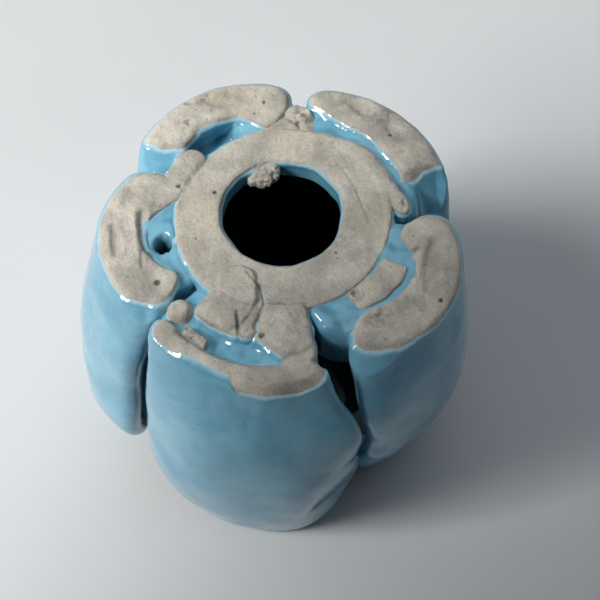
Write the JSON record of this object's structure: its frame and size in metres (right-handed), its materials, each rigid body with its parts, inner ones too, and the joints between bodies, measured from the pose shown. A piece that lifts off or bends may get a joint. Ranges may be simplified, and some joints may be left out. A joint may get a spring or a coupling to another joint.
{
  "type": "flower frog",
  "caption": "Glazed ceramic flower frog shaped as a flower bud: a hollow pod inside a ring of thick petals, with an unglazed foot and holes for stems.",
  "frame": {"origin": "centre of the outline, at the height of the petal tips that it stands on in the picture", "axes": "+Z from the petal tips to the unglazed foot, so the object is upside down; +Y away from the front petal's side; +X to the right"},
  "size_m": [0.0892, 0.0874, 0.079],
  "materials": {
    "glaze": "glossy sky blue glaze over pale clay",
    "bare_clay": "rough bare fired clay, grey beige"
  },
  "bodies": {
    "root": {"foot_ring": "bare_clay", "pod_wall": "glaze", "stem_plate": "glaze", "petal_front": "glaze", "petal_right": "glaze", "petal_back_right": "glaze", "petal_back_left": "glaze", "petal_left": "glaze", "luting_front": "glaze", "luting_right": "glaze", "luting_back_right": "glaze", "luting_back_left": "glaze", "luting_left": "glaze", "wad_front": "bare_clay", "wad_front_left": "bare_clay", "wad_right": "bare_clay", "wad_back": "bare_clay", "wad_left": "bare_clay", "ring_tongue": "bare_clay", "pellet": "bare_clay", "sliver": "bare_clay", "hole_blob": "bare_clay"}
  },
  "joints": []
}
